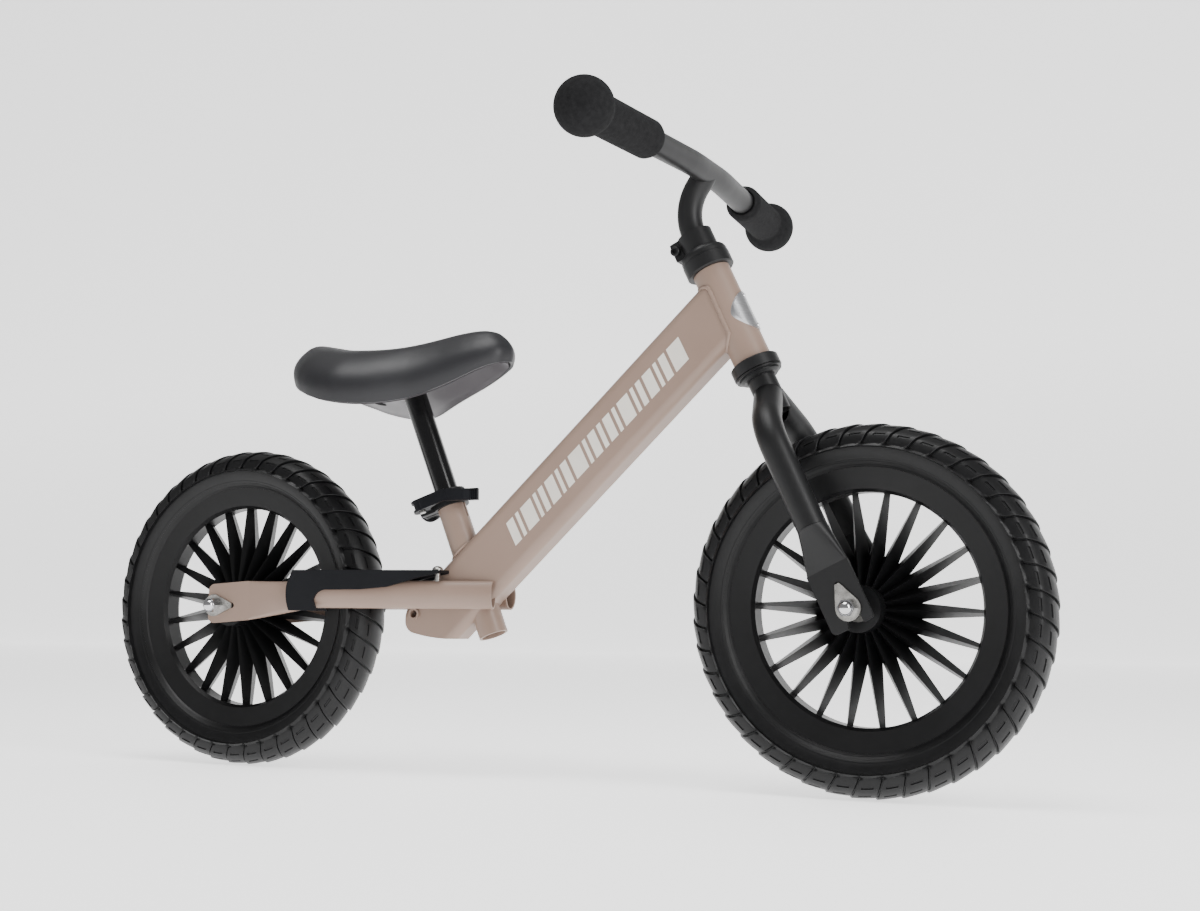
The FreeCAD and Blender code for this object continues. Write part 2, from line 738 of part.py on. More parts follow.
upper_mouth = head_high + upper_cup_height
lower_mouth = head_low - lower_cup_height
upper_balls = ring(skirt_bore + 0.4, bearing_pocket, upper_mouth - pocket_depth, upper_mouth - 0.4)
lower_balls = ring(skirt_bore + 0.4, bearing_pocket, lower_mouth + 0.4, lower_mouth + pocket_depth)
node("headset_bearings", group([upper_balls, lower_balls]), steering)

cap_base = upper_mouth + seal_gap
node("headset_cap", turned([
    (steerer_radius, cap_base), (cup_radius - 0.4, cap_base), (cup_radius - 0.4, cap_base + 3, 6),
    (cup_radius - 4.4, cap_base + cap_height), (steerer_radius, cap_base + cap_height),
]), steering)
race_top = lower_mouth - seal_gap
node("crown_race", turned([
    (steerer_radius, race_top - race_height), (cup_radius - 6, race_top - race_height),
    (cup_radius - 3.4, race_top - 3.4), (cup_radius - 3.4, race_top - 1.9), (cup_radius - 1, race_top - 1.9),
    (cup_radius - 1, race_top), (steerer_radius, race_top),
]), steering)


# --------------------------------------------------------------------------------------------
# Fork: steerer tube and two blades whose lower ends are pressed flat
# --------------------------------------------------------------------------------------------

steerer_bore = tube_radius + running_gap
steerer_slot = block(steerer_radius, 2, 36,
                     up(steerer_high) * Placement(Vector(-steerer_radius.value, 0, 0), Rotation()))
node("steerer_tube", cut(ring(steerer_bore, steerer_radius, steerer_low, steerer_high), [steerer_slot]),
     steering)

blade_y = front_plate_face.value - plate_wall.value / 2
bend_low = 72.0
fold_low = 37.0
end_setback = 2.6


def blade_point(y, along):
    return Vector(0, y, along)


blade_path = rounded_path([blade_point(3, 201.7), blade_point(50.2, 166.5),
                           blade_point(blade_y - 0.6, bend_low)], [42])
blade_outer = swept(blade_path, fork_radius + 0.001, fork_radius, Vector(1, 0, 0))
blade_inner = swept(blade_path, fork_radius - tube_wall + 0.001, fork_radius - tube_wall, Vector(1, 0, 0))


def blade_taper():
    """The blade's last stretch, pressed from a round tube into a flat plate."""
    across, forwards = Vector(0, 1, 0), Vector(1, 0, 0)
    start = blade_point(blade_y - 0.6, bend_low + 0.1)
    end = Vector(-end_setback, blade_y, fold_low)
    return Part.makeLoft([
        oval_wire(start, across, forwards, fork_radius.value / 1.18, fork_radius.value, 0.5),
        oval_wire(start * 0.45 + end * 0.55, across, forwards, 5.4, 15.8, 0.7),
        oval_wire(end, across, forwards, plate_wall.value / 2, fork_end_half.value, 0.93),
    ], True, False)


def fork_end():
    """The flat end: an open slot for the axle, and a small hole above it for the washer's tab."""
    front, back, drop = fork_end_half - end_setback, -fork_end_half - end_setback, -fork_end_drop
    slot_half, mouth_half = 5.0, 7.0
    plate = slab("XZ_Plane", [
        (back + 4, drop), (-mouth_half, drop), (-slot_half, 0, -slot_half), (0, slot_half, -slot_half),
        (slot_half, 0), (mouth_half, drop), (front - 4, drop, 4), (front, drop + 4), (front, fold_low),
        (back, fold_low), (back, drop + 4, 4),
    ], plate_wall)
    plate.Placement = Placement(Vector(0, blade_y, 0), Rotation())
    tab_hole = rod(2.6, 20, Placement(Vector(0, blade_y, 20.5), crosswise))
    return cut(plate, [tab_hole])


left_blade = cut(joined([blade_outer, free_shape(blade_taper(), "Taper"), fork_end()]),
                 [blade_inner, rod(steerer_radius, 80, up(200)), rod(40, 40, up(race_top - race_height + 20))])
node("left_fork_blade", left_blade, steering)
node("right_fork_blade", mirrored(left_blade))


# --------------------------------------------------------------------------------------------
# Stem clamp, stem, handlebar and grips
# --------------------------------------------------------------------------------------------

collar_low = cap_base + cap_height + 0.2
collar_high = steerer_high + 1
collar_outer = 16.0
ear_reach, ear_half, gap_half, bolt_back = 24.0, 8.5, 1.2, 19.0


def clamp_collar(bore, outer, low, high, reach, back, bolt_radius):
    """A split ring with two ears behind it and a cross hole for its bolt."""
    bore, outer, low, high, reach = [Size.of(size) for size in (bore, outer, low, high, reach)]
    middle = (low.value + high.value) / 2
    height = high.value - low.value
    ears = slab("XZ_Plane", [
        (-reach + 3, low), (-bore.value - 1, low), (-bore.value - 1, high), (-reach + 3, high, 4),
        (-reach, high - 3), (-reach, low + 3, 4),
    ], ear_half * 2)
    ears_round = shared([ears, rod(reach, height + 2, up(middle))])
    solid = joined([rod(outer, height, up(middle)), ears_round])
    return cut(solid, [
        rod(bore, height + 4, up(middle)),
        block(reach, gap_half * 2, height + 4, Placement(Vector(-reach.value / 2 - 8, 0, middle), Rotation())),
        rod(bolt_radius, 60, Placement(Vector(-back, 0, middle), crosswise)),
    ])


node("stem_clamp", clamp_collar(steerer_radius, collar_outer, collar_low, collar_high, ear_reach, bolt_back,
                                2.6), steering)


def clamp_bolt(back, middle):
    """A socket-head M5 bolt across the clamp's ears, with its nut."""
    head_radius, head_high_y, shank = 4.25, 5.0, 2.5
    bolt = turned([
        (0, -ear_half - 4.5), (4, -ear_half - 4.5), (4, -ear_half), (shank, -ear_half), (shank, ear_half),
        (head_radius, ear_half), (head_radius, ear_half + head_high_y - 0.6),
        (head_radius - 0.6, ear_half + head_high_y), (2.2, ear_half + head_high_y),
        (2.2, ear_half + head_high_y - 2.5), (0, ear_half + head_high_y - 2.5),
    ])
    bolt.Placement = Placement(Vector(-back, 0, middle), Rotation(Vector(1, 0, 0), 90))
    return bolt


bolt_along = (collar_low.value + collar_high.value) / 2
stem_bolt = clamp_bolt(bolt_back, bolt_along)
node("stem_clamp_bolt", stem_bolt, steering * stem_bolt.Placement)

# The stem leaves the steerer along its axis, then bends forwards to meet the bar from below.
stem_low = 268
stem_straight = steerer_high.value + 1
lean = math.radians(steering_lean.value)


def on_steering(along):
    return steering.multVec(Vector(0, 0, along))


bar_middle = Vector(bar_forward.value, 0, bar_height.value)
stem_turn_start = on_steering(stem_straight)
stem_way = (on_steering(1) - on_steering(0)).normalize()
stem_last_way = Vector(math.sin(math.radians(34)), 0, math.cos(math.radians(34)))
gap_x = bar_middle - stem_turn_start
determinant = stem_way.x * stem_last_way.z - stem_way.z * stem_last_way.x
stem_reach = (gap_x.x * stem_last_way.z - gap_x.z * stem_last_way.x) / determinant
stem_corner = stem_turn_start + stem_way * stem_reach
stem_radius = stem_reach / math.tan(stem_way.getAngle(stem_last_way) / 2)
stem_path = rounded_path([on_steering(stem_low), stem_corner, bar_middle], [stem_radius])

sweep_angle = math.radians(bar_sweep.value)
bar_bend_y = 32.0
ball_back = (bar_reach.value - bar_bend_y) * math.tan(sweep_angle)
tip_y = bar_reach.value - 6
bar_points = [
    bar_middle + Vector(-(tip_y - bar_bend_y) * math.tan(sweep_angle), -tip_y, 0),
    bar_middle + Vector(0, -bar_bend_y, 0),
    bar_middle + Vector(0, bar_bend_y, 0),
    bar_middle + Vector(-(tip_y - bar_bend_y) * math.tan(sweep_angle), tip_y, 0),
]
bar_path = rounded_path(bar_points, [220, 220])
upright = Vector(0, 0, 1)
bar_outer = swept(bar_path, tube_radius + 0.001, tube_radius, upright)
bar_inner = swept(bar_path, tube_radius - tube_wall + 0.001, tube_radius - tube_wall, upright)
node("handlebar", cut(bar_outer, [bar_inner]))
bar_solid = rod(tube_radius + 0.05, 60, Placement(bar_middle, crosswise))
node("stem", cut(bent_tube(stem_path, tube_radius, tube_wall), [bar_solid]))


def grip():
    """A foam sleeve that ends in a ball. Its own Z axis runs outwards from the ball's middle."""
    sleeve_end = -grip_inner
    bore = tube_radius
    meet = math.sqrt(ball_radius.value ** 2 - grip_radius.value ** 2)
    return turned([
        (bore, sleeve_end + 1.5), (bore + 1.2, sleeve_end), (grip_radius - 4, sleeve_end + 0.5, 5),
        (grip_radius, sleeve_end + 5), (grip_radius, -meet, ball_radius), (ball_radius, 0, ball_radius),
        (0.01, ball_radius), (0, ball_radius), (0, -6), (bore, -6),
    ])


def grip_place(way):
    middle = bar_middle + Vector(-ball_back, way * bar_reach.value, 0)
    outwards = Vector(-math.sin(sweep_angle), way * math.cos(sweep_angle), 0)
    return Placement(middle, Rotation(Vector(0, 0, 1), outwards))


node("left_grip", grip(), grip_place(1))
node("right_grip", grip(), grip_place(-1))


# --------------------------------------------------------------------------------------------
# Head badge: a plain curved plate with two rivets
# --------------------------------------------------------------------------------------------

badge_wall, badge_half_high, badge_half_wide, badge_along = 1.2, 19.0, 16.4, 279.0
badge_blank = ring(head_radius, head_radius + badge_wall, badge_along - 22, badge_along + 22)
badge_oval = doc.addObject("Part::Ellipse", "BadgeOval")
badge_oval.MajorRadius = badge_half_high
badge_oval.MinorRadius = badge_half_wide
badge_oval.Placement = Placement(Vector(0, 0, badge_along), Rotation(Vector(0, 0, 1), Vector(0, 1, 0),
                                                                      Vector(1, 0, 0), "ZXY"))
badge_prism = doc.addObject("Part::Extrusion", "BadgePrism")
badge_prism.Base = badge_oval
badge_prism.DirMode = "Custom"
badge_prism.Dir = Vector(1, 0, 0)
badge_prism.LengthFwd = 30
badge_prism.Solid = True
rivet_spots = [badge_along - 15, badge_along + 15]
rivet_holes = [rod(1.2, 20, Placement(Vector(head_radius.value, 0, z), Rotation(Vector(0, 1, 0), 90)))
               for z in rivet_spots]
node("head_badge", cut(shared([badge_blank, badge_prism]), rivet_holes), steering)


def rivet(along):
    """A dome-headed rivet that stops in the head tube's wall."""
    stand = head_radius + badge_wall
    pin = turned([
        (0, head_radius), (1.2, head_radius), (1.2, stand), (2, stand), (1.4, stand + 0.8, 3),
        (0.01, stand + 1.1), (0, stand + 1.1),
    ])
    pin.Placement = Placement(Vector(0, 0, along), Rotation(Vector(0, 1, 0), 90))
    return pin


node("badge_rivets", group([rivet(z) for z in rivet_spots]), steering)


# --------------------------------------------------------------------------------------------
# Saddle clamp: collar, clamp bolt, ribbed nut and cam lever
# --------------------------------------------------------------------------------------------

clamp_place = seat_axis * Placement(Vector(0, 0, clamp_middle.value), Rotation(Vector(0, 0, 1),
                                                                              clamp_turn.value))
collar_half = 7.5
node("seat_clamp_collar", clamp_collar(seat_radius, 17, -collar_half, collar_half, clamp_ear + 6.5,
                                       clamp_ear.value, 2.6), clamp_place)

# The lever's pivot pin stands parallel to the seat tube, outside the right-hand ear.
pivot_y = -18.5
pivot_radius = 3.0
barrel_radius = 8.0
eye_height = 6.0
bend_x, front_bend = 2.0, 18.5
skewer = joined([
    rod(2.5, 34.5, Placement(Vector(-clamp_ear.value, 2.6, 0), crosswise)),
    cut(rod(5.2, eye_height, Placement(Vector(-clamp_ear.value, pivot_y, 0), Rotation())),
        [rod(pivot_radius, 20, Placement(Vector(-clamp_ear.value, pivot_y, 0), Rotation()))]),
])
node("clamp_skewer", skewer, clamp_place)
node("clamp_pivot_pin", rod(pivot_radius, 14), None)
pin_place = Placement(Vector(-clamp_ear.value, pivot_y, 0), Rotation())
nodes["clamp_pivot_pin"].Placement = clamp_place * pin_place * nodes["clamp_pivot_pin"].Placement


def ribbed_nut():
    """The adjusting nut: a cone with grooves round it, threaded on the skewer."""
    start = ear_half
    corners = [(2.5, start), (9.0, start)]
    ribs, pitch = 5, 3.0
    for i in range(ribs):
        low = start + 2.0 + i * pitch
        radius = 10.2 - i * 0.9
        corners += [(radius, low), (radius, low + 1.7), (radius - 1.4, low + 2.2)]
    top = start + 2.0 + ribs * pitch
    corners += [(4.5, top), (2.5, top)]
    return turned(corners)


nut_place = Placement(Vector(-clamp_ear.value, 0, 0), crosswise)
node("clamp_adjusting_nut", ribbed_nut(), clamp_place * nut_place)


def clamp_lever():
    """A cam barrel forked round the skewer's eye, and an arm that bends down level past the clamp."""
    def plan(x, y):
        return Placement(Vector(x - clamp_ear.value, y + pivot_y, 0), Rotation())

    height, slot_height = 11.0, 6.6
    rear_arm = slab("XY_Plane", [
        (-clamp_ear - 7.5, pivot_y - 2), (-clamp_ear + 2, pivot_y - 8.3), (-8, -27.8), (bend_x + 2, -28.2),
        (bend_x + 2, -24.6), (-8, -23.8), (-clamp_ear + 7.8, pivot_y - 1),
    ], height)
    ribs = []
    for i in range(4):
        x = 27.0 + 1.9 * i
        ribs += [(x, -23.4), (x + 0.5, -24.4), (x + 1.2, -24.4)]
    front_arm = slab("XY_Plane", [(bend_x - 3, -28.2), (10, -27.6), (21, -25.4)] + ribs + [
        (34.5, -23.2), (34.5, -19.6), (27, -19.8), (21, -21.6), (10, -24), (bend_x - 3, -24.6),
    ], height)
    bend = Placement(Vector(bend_x, 0, 0), Rotation(Vector(0, 1, 0), front_bend))
    front_arm.Placement = bend * Placement(Vector(-bend_x, 0, 0), Rotation())
    barrel = rod(barrel_radius, height, plan(0, 0))
    eye_space = block(17.2, 25.2, slot_height, plan(-5.4, 6.2))
    eye_round = rod(5.7, slot_height, plan(0, 0))
    bore = rod(pivot_radius + running_gap, 30, plan(0, 0))
    return cut(joined([rear_arm, front_arm, barrel]), [eye_round, eye_space, bore])


node("clamp_lever", clamp_lever(), clamp_place)


# --------------------------------------------------------------------------------------------
# Saddle and seat post
# --------------------------------------------------------------------------------------------

node("seat_post", ring(tube_radius - tube_wall, tube_radius, post_low, post_high), seat_axis)

# The rim of the saddle's underside: (x, half width, height); and the crest above it: (x, height).
saddle_stations = [
    (-254, 16, 377, 399), (-243.5, 36, 369, 410), (-228, 52, 361, 411), (-205, 66, 352, 405.5),
    (-175, 71, 345, 402), (-145, 61, 343.5, 402.4), (-115, 42, 348.5, 406.5), (-85, 32, 358.5, 412),
    (-57, 27, 370.5, 414.5), (-41, 21.5, 378, 409.5), (-31, 13, 382, 399.5),
]
pan_thick = 3.0
pan_rise = 0.35
seam = 0.15


def saddle_section(x, low_mid, rim_half_width, rim_z, top_mid, shoulder):
    """A closed section across the saddle: an arched floor below and a crowned top above."""
    left, right = Vector(x, rim_half_width, rim_z), Vector(x, -rim_half_width, rim_z)
    floor = Part.Arc(left, Vector(x, 0, low_mid), right).toShape()
    swell = rim_half_width * 1.04
    shoulder_z = rim_z + (top_mid - rim_z) * shoulder
    crown = Part.BSplineCurve()
    crown.interpolate([
        right, Vector(x, -swell, rim_z + (shoulder_z - rim_z) * 0.45),
        Vector(x, -rim_half_width * 0.78, rim_z + (top_mid - rim_z) * 0.8), Vector(x, 0, top_mid),
        Vector(x, rim_half_width * 0.78, rim_z + (top_mid - rim_z) * 0.8),
        Vector(x, swell, rim_z + (shoulder_z - rim_z) * 0.45), left,
    ])
    return Part.Wire([floor, crown.toShape()])


def saddle_cover_shape():
    sections = []
    for x, half, rim_z, crest in saddle_stations:
        arch = rim_z + (crest - rim_z) * pan_rise
        sections.append(saddle_section(x, arch, half, rim_z, crest, 0.9))
    return Part.makeLoft(sections, True, False)


def saddle_pan_shape():
    """A thin arched shell that closes the cover from below."""
    sections = []
    for x, half, rim_z, crest in saddle_stations:
        arch = rim_z + (crest - rim_z) * pan_rise - seam
        left, right = Vector(x, half, rim_z - seam), Vector(x, -half, rim_z - seam)
        upper = Part.Arc(left, Vector(x, 0, arch), right).toShape()
        lower = Part.Arc(right - Vector(0, -0.6, 1.4), Vector(x, 0, arch - pan_thick),
                         left - Vector(0, 0.6, 1.4)).toShape()
        edges = [upper, Part.LineSegment(right, right - Vector(0, -0.6, 1.4)).toShape(), lower,
                 Part.LineSegment(left - Vector(0, 0.6, 1.4), left).toShape()]
        sections.append(Part.Wire(edges))
    return Part.makeLoft(sections, True, False)


cover_shape = saddle_cover_shape()
pan_shape = saddle_pan_shape()
socket_radius = 16.0
socket_foot, socket_cap = 240.0, 3.0
socket_length = post_high.value + socket_cap - socket_foot
socket = rod(socket_radius, socket_length, seat_axis * up(socket_foot + socket_length / 2))
cover_solid = free_shape(cover_shape, "Cushion")
pan_solid = free_shape(pan_shape, "Pan")
post_space = rod(tube_radius, 60, seat_axis * up(post_high - 30))
node("saddle_base", cut(joined([pan_solid, socket]), [post_space]))
node("saddle_cover", cut(cover_solid, [socket]))


# --------------------------------------------------------------------------------------------
# Check and write
# --------------------------------------------------------------------------------------------

doc.recompute()
faults = []
for thing in doc.Objects:
    if "Invalid" in thing.State or "Error" in thing.State:
        faults.append("%s (%s) is %s" % (thing.Name, thing.Label, thing.State))
for name, thing in nodes.items():
    shape = thing.Shape
    if shape.isNull() or not shape.isValid() or not shape.Solids:
        faults.append("%s has no valid solid" % name)
        continue
    print("%-26s solids %d  volume %9.0f" % (name, len(shape.Solids), shape.Volume))
if faults:
    raise SystemExit("\n".join(faults))

os.makedirs("parts", exist_ok=True)
for name, thing in nodes.items():
    thing.Shape.exportStep(os.path.join("parts", name + ".step"))
print("%d nodes written" % len(nodes))
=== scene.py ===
import math

import bmesh
import bpy
from mathutils import Matrix, Vector


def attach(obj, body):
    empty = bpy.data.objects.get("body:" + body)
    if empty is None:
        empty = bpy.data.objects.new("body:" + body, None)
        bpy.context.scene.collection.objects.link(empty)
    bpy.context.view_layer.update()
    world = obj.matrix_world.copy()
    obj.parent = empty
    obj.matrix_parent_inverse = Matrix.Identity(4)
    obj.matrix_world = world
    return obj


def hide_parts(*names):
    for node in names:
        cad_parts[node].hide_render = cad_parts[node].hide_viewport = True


# The looks of a toddler's balance bike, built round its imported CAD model.
# Metres. +X is forwards, +Y is the rider's left, +Z is up; the origin is on the ground between the wheels.

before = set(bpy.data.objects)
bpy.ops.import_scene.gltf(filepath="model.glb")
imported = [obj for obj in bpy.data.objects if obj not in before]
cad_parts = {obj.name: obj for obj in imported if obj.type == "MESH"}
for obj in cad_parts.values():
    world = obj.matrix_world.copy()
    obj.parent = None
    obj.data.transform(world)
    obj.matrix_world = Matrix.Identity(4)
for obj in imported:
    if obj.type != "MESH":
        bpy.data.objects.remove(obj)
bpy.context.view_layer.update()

MM = 0.001
TURN = 2 * math.pi

# The CAD model's driving sizes, in millimetres.
WHEELBASE = 635
TYRE_RADIUS = 155
STEERING_LEAN = 25.5
DOWN_TUBE_ANGLE = 43.6
DOWN_TUBE_MIDDLE = Vector((-18.5, 0, 215.4))
DOWN_TUBE_HALF_DEPTH = 29
DOWN_TUBE_HALF_WIDTH = 16.5
DOWN_TUBE_EDGE = 8.5
HEAD_RADIUS = 17
SEAT_LEAN = 21.85
SEAT_FOOT = Vector((-38, 0, 129.4))
SEAT_TUBE_RADIUS = 13.5
TUBE_RADIUS = 11.1
BAR_MIDDLE = Vector((171.2, 0, 542.5))
BAR_SWEEP = 5.6
BAR_BEND = 32
BALL_MIDDLE = 210.8
BALL_RADIUS = 24.3
BALL_BORE = 6
GRIP_RADIUS = 17
GRIP_LENGTH = 104
RIM_SEAT = Vector((112, 12))
BEAD_RADIUS = 117.4
RIM_HALF_WIDTH = 14.5
SHOULDER = Vector((134, 24))
TREAD_EDGE = Vector((146, 21.5))
WALL_ARC, SHOULDER_ARC, TREAD_ARC = 24, 20, 30.2

FRONT_AXLE = Vector((WHEELBASE / 2, 0, TYRE_RADIUS))
REAR_AXLE = Vector((-WHEELBASE / 2, 0, TYRE_RADIUS))
UP = Vector((0, 0, 1))
LEFT = Vector((0, 1, 0))


def tilted(origin, lean):
    """A frame at origin whose own Z axis leans back from upright by lean degrees."""
    return Matrix.Translation(origin) @ Matrix.Rotation(math.radians(-lean), 4, "Y")


STEERING = tilted(FRONT_AXLE, STEERING_LEAN)
SEAT_AXIS = tilted(SEAT_FOOT, SEAT_LEAN)
DOWN_TUBE_TURN = math.radians(DOWN_TUBE_ANGLE)
ALONG_DOWN_TUBE = Vector((math.cos(DOWN_TUBE_TURN), 0, math.sin(DOWN_TUBE_TURN)))
ABOVE_DOWN_TUBE = Vector((-ALONG_DOWN_TUBE.z, 0, ALONG_DOWN_TUBE.x))


# --------------------------------------------------------------------------------------------
# Materials
# --------------------------------------------------------------------------------------------

def linear(red, green, blue):
    """A colour as it looks on a screen, from 0 to 255, turned into linear light."""
    def one(value):
        value /= 255
        return value / 12.92 if value <= 0.04045 else ((value + 0.055) / 1.055) ** 2.4
    return (one(red), one(green), one(blue), 1)


def surface(name, dark, light, rough, spread=0.05, patch=12, grain=600, depth=0.00005, metal=0.0,
            coat=0.0, stretch=(1, 1, 1), specular=0.5, pores=None):
    """A material whose colour and gloss drift in soft patches, over a fine raised grain.

    patch, grain and pores say how many fit in a metre, and depth is the grain's height in metres.
    """
    made = bpy.data.materials.new(name)
    made.use_nodes = True
    nodes, links = made.node_tree.nodes, made.node_tree.links
    shader = nodes["Principled BSDF"]
    place = nodes.new("ShaderNodeTexCoord")
    scaled = nodes.new("ShaderNodeMapping")
    scaled.inputs["Scale"].default_value = stretch
    links.new(place.outputs["Object"], scaled.inputs["Vector"])

    def noise_at(size, detail):
        texture = nodes.new("ShaderNodeTexNoise")
        texture.inputs["Scale"].default_value = size
        texture.inputs["Detail"].default_value = detail
        links.new(scaled.outputs["Vector"], texture.inputs["Vector"])
        return texture

    patches = noise_at(patch, 4)
    ramp = nodes.new("ShaderNodeValToRGB")
    ramp.color_ramp.elements[0].position = 0.3
    ramp.color_ramp.elements[0].color = dark
    ramp.color_ramp.elements[1].position = 0.7
    ramp.color_ramp.elements[1].color = light
    links.new(patches.outputs["Fac"], ramp.inputs["Fac"])
    links.new(ramp.outputs["Color"], shader.inputs["Base Color"])

    gloss = nodes.new("ShaderNodeMapRange")
    gloss.inputs["To Min"].default_value = rough - spread
    gloss.inputs["To Max"].default_value = rough + spread
    links.new(noise_at(patch * 6, 3).outputs["Fac"], gloss.inputs["Value"])
    links.new(gloss.outputs["Result"], shader.inputs["Roughness"])

    bump = nodes.new("ShaderNodeBump")
    bump.inputs["Distance"].default_value = depth
    bump.inputs["Strength"].default_value = 1
    if pores:
        cells = nodes.new("ShaderNodeTexVoronoi")
        cells.inputs["Scale"].default_value = pores
        links.new(scaled.outputs["Vector"], cells.inputs["Vector"])
        blend = nodes.new("ShaderNodeMath")
        blend.operation = "ADD"
        links.new(noise_at(grain, 3).outputs["Fac"], blend.inputs[0])
        links.new(cells.outputs["Distance"], blend.inputs[1])
        links.new(blend.outputs["Value"], bump.inputs["Height"])
    else:
        links.new(noise_at(grain, 3).outputs["Fac"], bump.inputs["Height"])
    links.new(bump.outputs["Normal"], shader.inputs["Normal"])

    shader.inputs["Metallic"].default_value = metal
    shader.inputs["Coat Weight"].default_value = coat
    shader.inputs["Specular IOR Level"].default_value = specular
    return made


frame_paint = surface("frame_paint", linear(138, 116, 103), linear(147, 125, 112), 0.42,
                      spread=0.03, patch=9, grain=700, depth=0.00003, coat=0.05)
black_paint = surface("black_paint", linear(17, 17, 18), linear(22, 22, 23), 0.44,
                      spread=0.04, patch=14, grain=900, depth=0.00002, specular=0.35)
post_paint = surface("post_paint", linear(10, 10, 11), linear(14, 14, 15), 0.2,
                     spread=0.03, patch=14, grain=900, depth=0.00001, coat=0.1, specular=0.4)
wheel_plastic = surface("wheel_plastic", linear(10, 10, 11), linear(15, 15, 16), 0.36,
                        spread=0.06, patch=20, grain=1500, depth=0.00003, specular=0.3)
tyre_foam = surface("tyre_foam", linear(11, 11, 12), linear(18, 18, 19), 0.4,
                    spread=0.07, patch=45, grain=1100, depth=0.00004, specular=0.3)
grip_foam = surface("grip_foam", linear(26, 26, 27), linear(35, 35, 36), 0.95,
                    spread=0.04, patch=260, grain=2200, depth=0.0002, specular=0.12, pores=1500)
saddle_vinyl = surface("saddle_vinyl", linear(30, 30, 33), linear(36, 36, 39), 0.46,
                       spread=0.04, patch=16, grain=1400, depth=0.00005, specular=0.45, pores=1100)
pan_plastic = surface("pan_plastic", linear(72, 69, 72), linear(84, 81, 84), 0.36,
                      spread=0.05, patch=18, grain=900, depth=0.00004)
cover_plastic = surface("cover_plastic", linear(12, 13, 16), linear(18, 19, 23), 0.42,
                        spread=0.05, patch=24, grain=1600, depth=0.00005, specular=0.2)
zinc = surface("zinc", linear(150, 148, 144), linear(196, 194, 190), 0.3,
               spread=0.1, patch=160, grain=900, depth=0.00003, metal=1.0)
chrome = surface("chrome", linear(196, 196, 198), linear(214, 214, 216), 0.1,
                 spread=0.04, patch=60, grain=500, depth=0.00001, metal=1.0)
badge_metal = surface("badge_metal", linear(176, 176, 178), linear(206, 206, 208), 0.32,
                      spread=0.08, patch=90, grain=500, depth=0.00003, metal=0.9, stretch=(1, 1, 14))
decal_ink = surface("decal_ink", linear(222, 216, 206), linear(236, 231, 222), 0.45,
                    spread=0.04, patch=30, grain=900, depth=0.00002)
# Painted shade: a near-black, barely reflective finish for flat discs that stand in for the shaded insides
# of the pan's openings.
hole_painted_shade = surface("hole_painted_shade", linear(8, 8, 8), linear(14, 14, 14), 0.8,
                    spread=0.05, patch=40, grain=900, depth=0.00002, specular=0.1)


def paint_nodes():
    """Give every CAD node that stays in sight its material."""
    looks = {
        frame_paint: ["head_tube", "down_tube", "seat_tube", "pedal_kit_boss", "left_stay", "right_stay"],
        black_paint: ["steerer_tube", "left_fork_blade", "right_fork_blade", "stem", "handlebar",
                      "stem_clamp", "stem_clamp_bolt", "seat_clamp_collar", "headset_cap",
                      "upper_headset_cup", "lower_headset_cup", "crown_race"],
        post_paint: ["seat_post"],
        cover_plastic: ["left_footrest", "right_footrest", "clamp_lever", "clamp_adjusting_nut"],
        wheel_plastic: ["front_wheel_casting", "rear_wheel_casting"],
        chrome: ["front_acorn_nuts", "rear_acorn_nuts", "badge_rivets"],
        badge_metal: ["head_badge"],
        pan_plastic: ["saddle_base"],
        tyre_foam: ["front_tyre", "rear_tyre"],
        grip_foam: ["left_grip", "right_grip"],
        saddle_vinyl: ["saddle_cover"],
    }
    chosen = {name: look for look, names in looks.items() for name in names}
    for name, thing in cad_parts.items():
        look = chosen.get(name, zinc)
        if not thing.material_slots:
            thing.data.materials.append(look)
        for place in thing.material_slots:
            place.material = look


paint_nodes()


# --------------------------------------------------------------------------------------------
# Making pieces
# --------------------------------------------------------------------------------------------

def piece(name, points, faces, look, body, replaces=(), sharp=35):
    """A mesh object from points in millimetres. It rides on a body and takes its finish from a slot."""
    mesh = bpy.data.meshes.new(name)
    mesh.from_pydata([tuple(Vector(p) * MM) for p in points], [], faces)
    made = bmesh.new()
    made.from_mesh(mesh)
    bmesh.ops.remove_doubles(made, verts=made.verts, dist=0.01 * MM)
    bmesh.ops.dissolve_degenerate(made, edges=made.edges, dist=0.001 * MM)
    bmesh.ops.recalc_face_normals(made, faces=made.faces)
    made.to_mesh(mesh)
    made.free()
    mesh.materials.append(look)
    thing = bpy.data.objects.new(name, mesh)
    bpy.context.scene.collection.objects.link(thing)
    mesh.shade_smooth()
    if sharp < 180:
        mesh.set_sharp_from_angle(angle=math.radians(sharp))
    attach(thing, body)
    if replaces:
        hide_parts(*replaces)
    return thing


def grid_faces(rows, columns, wrap_rows=False, wrap_columns=False, start=0):
    """Four-sided faces over points laid out row by row."""
    faces = []
    for i in range(rows if wrap_rows else rows - 1):
        for j in range(columns if wrap_columns else columns - 1):
            here, there = i * columns, (i + 1) % rows * columns
            after = (j + 1) % columns
            faces.append([start + here + j, start + here + after, start + there + after, start + there + j])
    return faces


def lathe(profile, place, steps=96):
    """A closed profile of (radius, height) turned about place's own Z axis."""
    points = []
    for i in range(steps):
        angle = TURN * i / steps
        for radius, height in profile:
            points.append(place @ Vector((radius * math.cos(angle), radius * math.sin(angle), height)))
    return points, grid_faces(steps, len(profile), wrap_rows=True, wrap_columns=True)


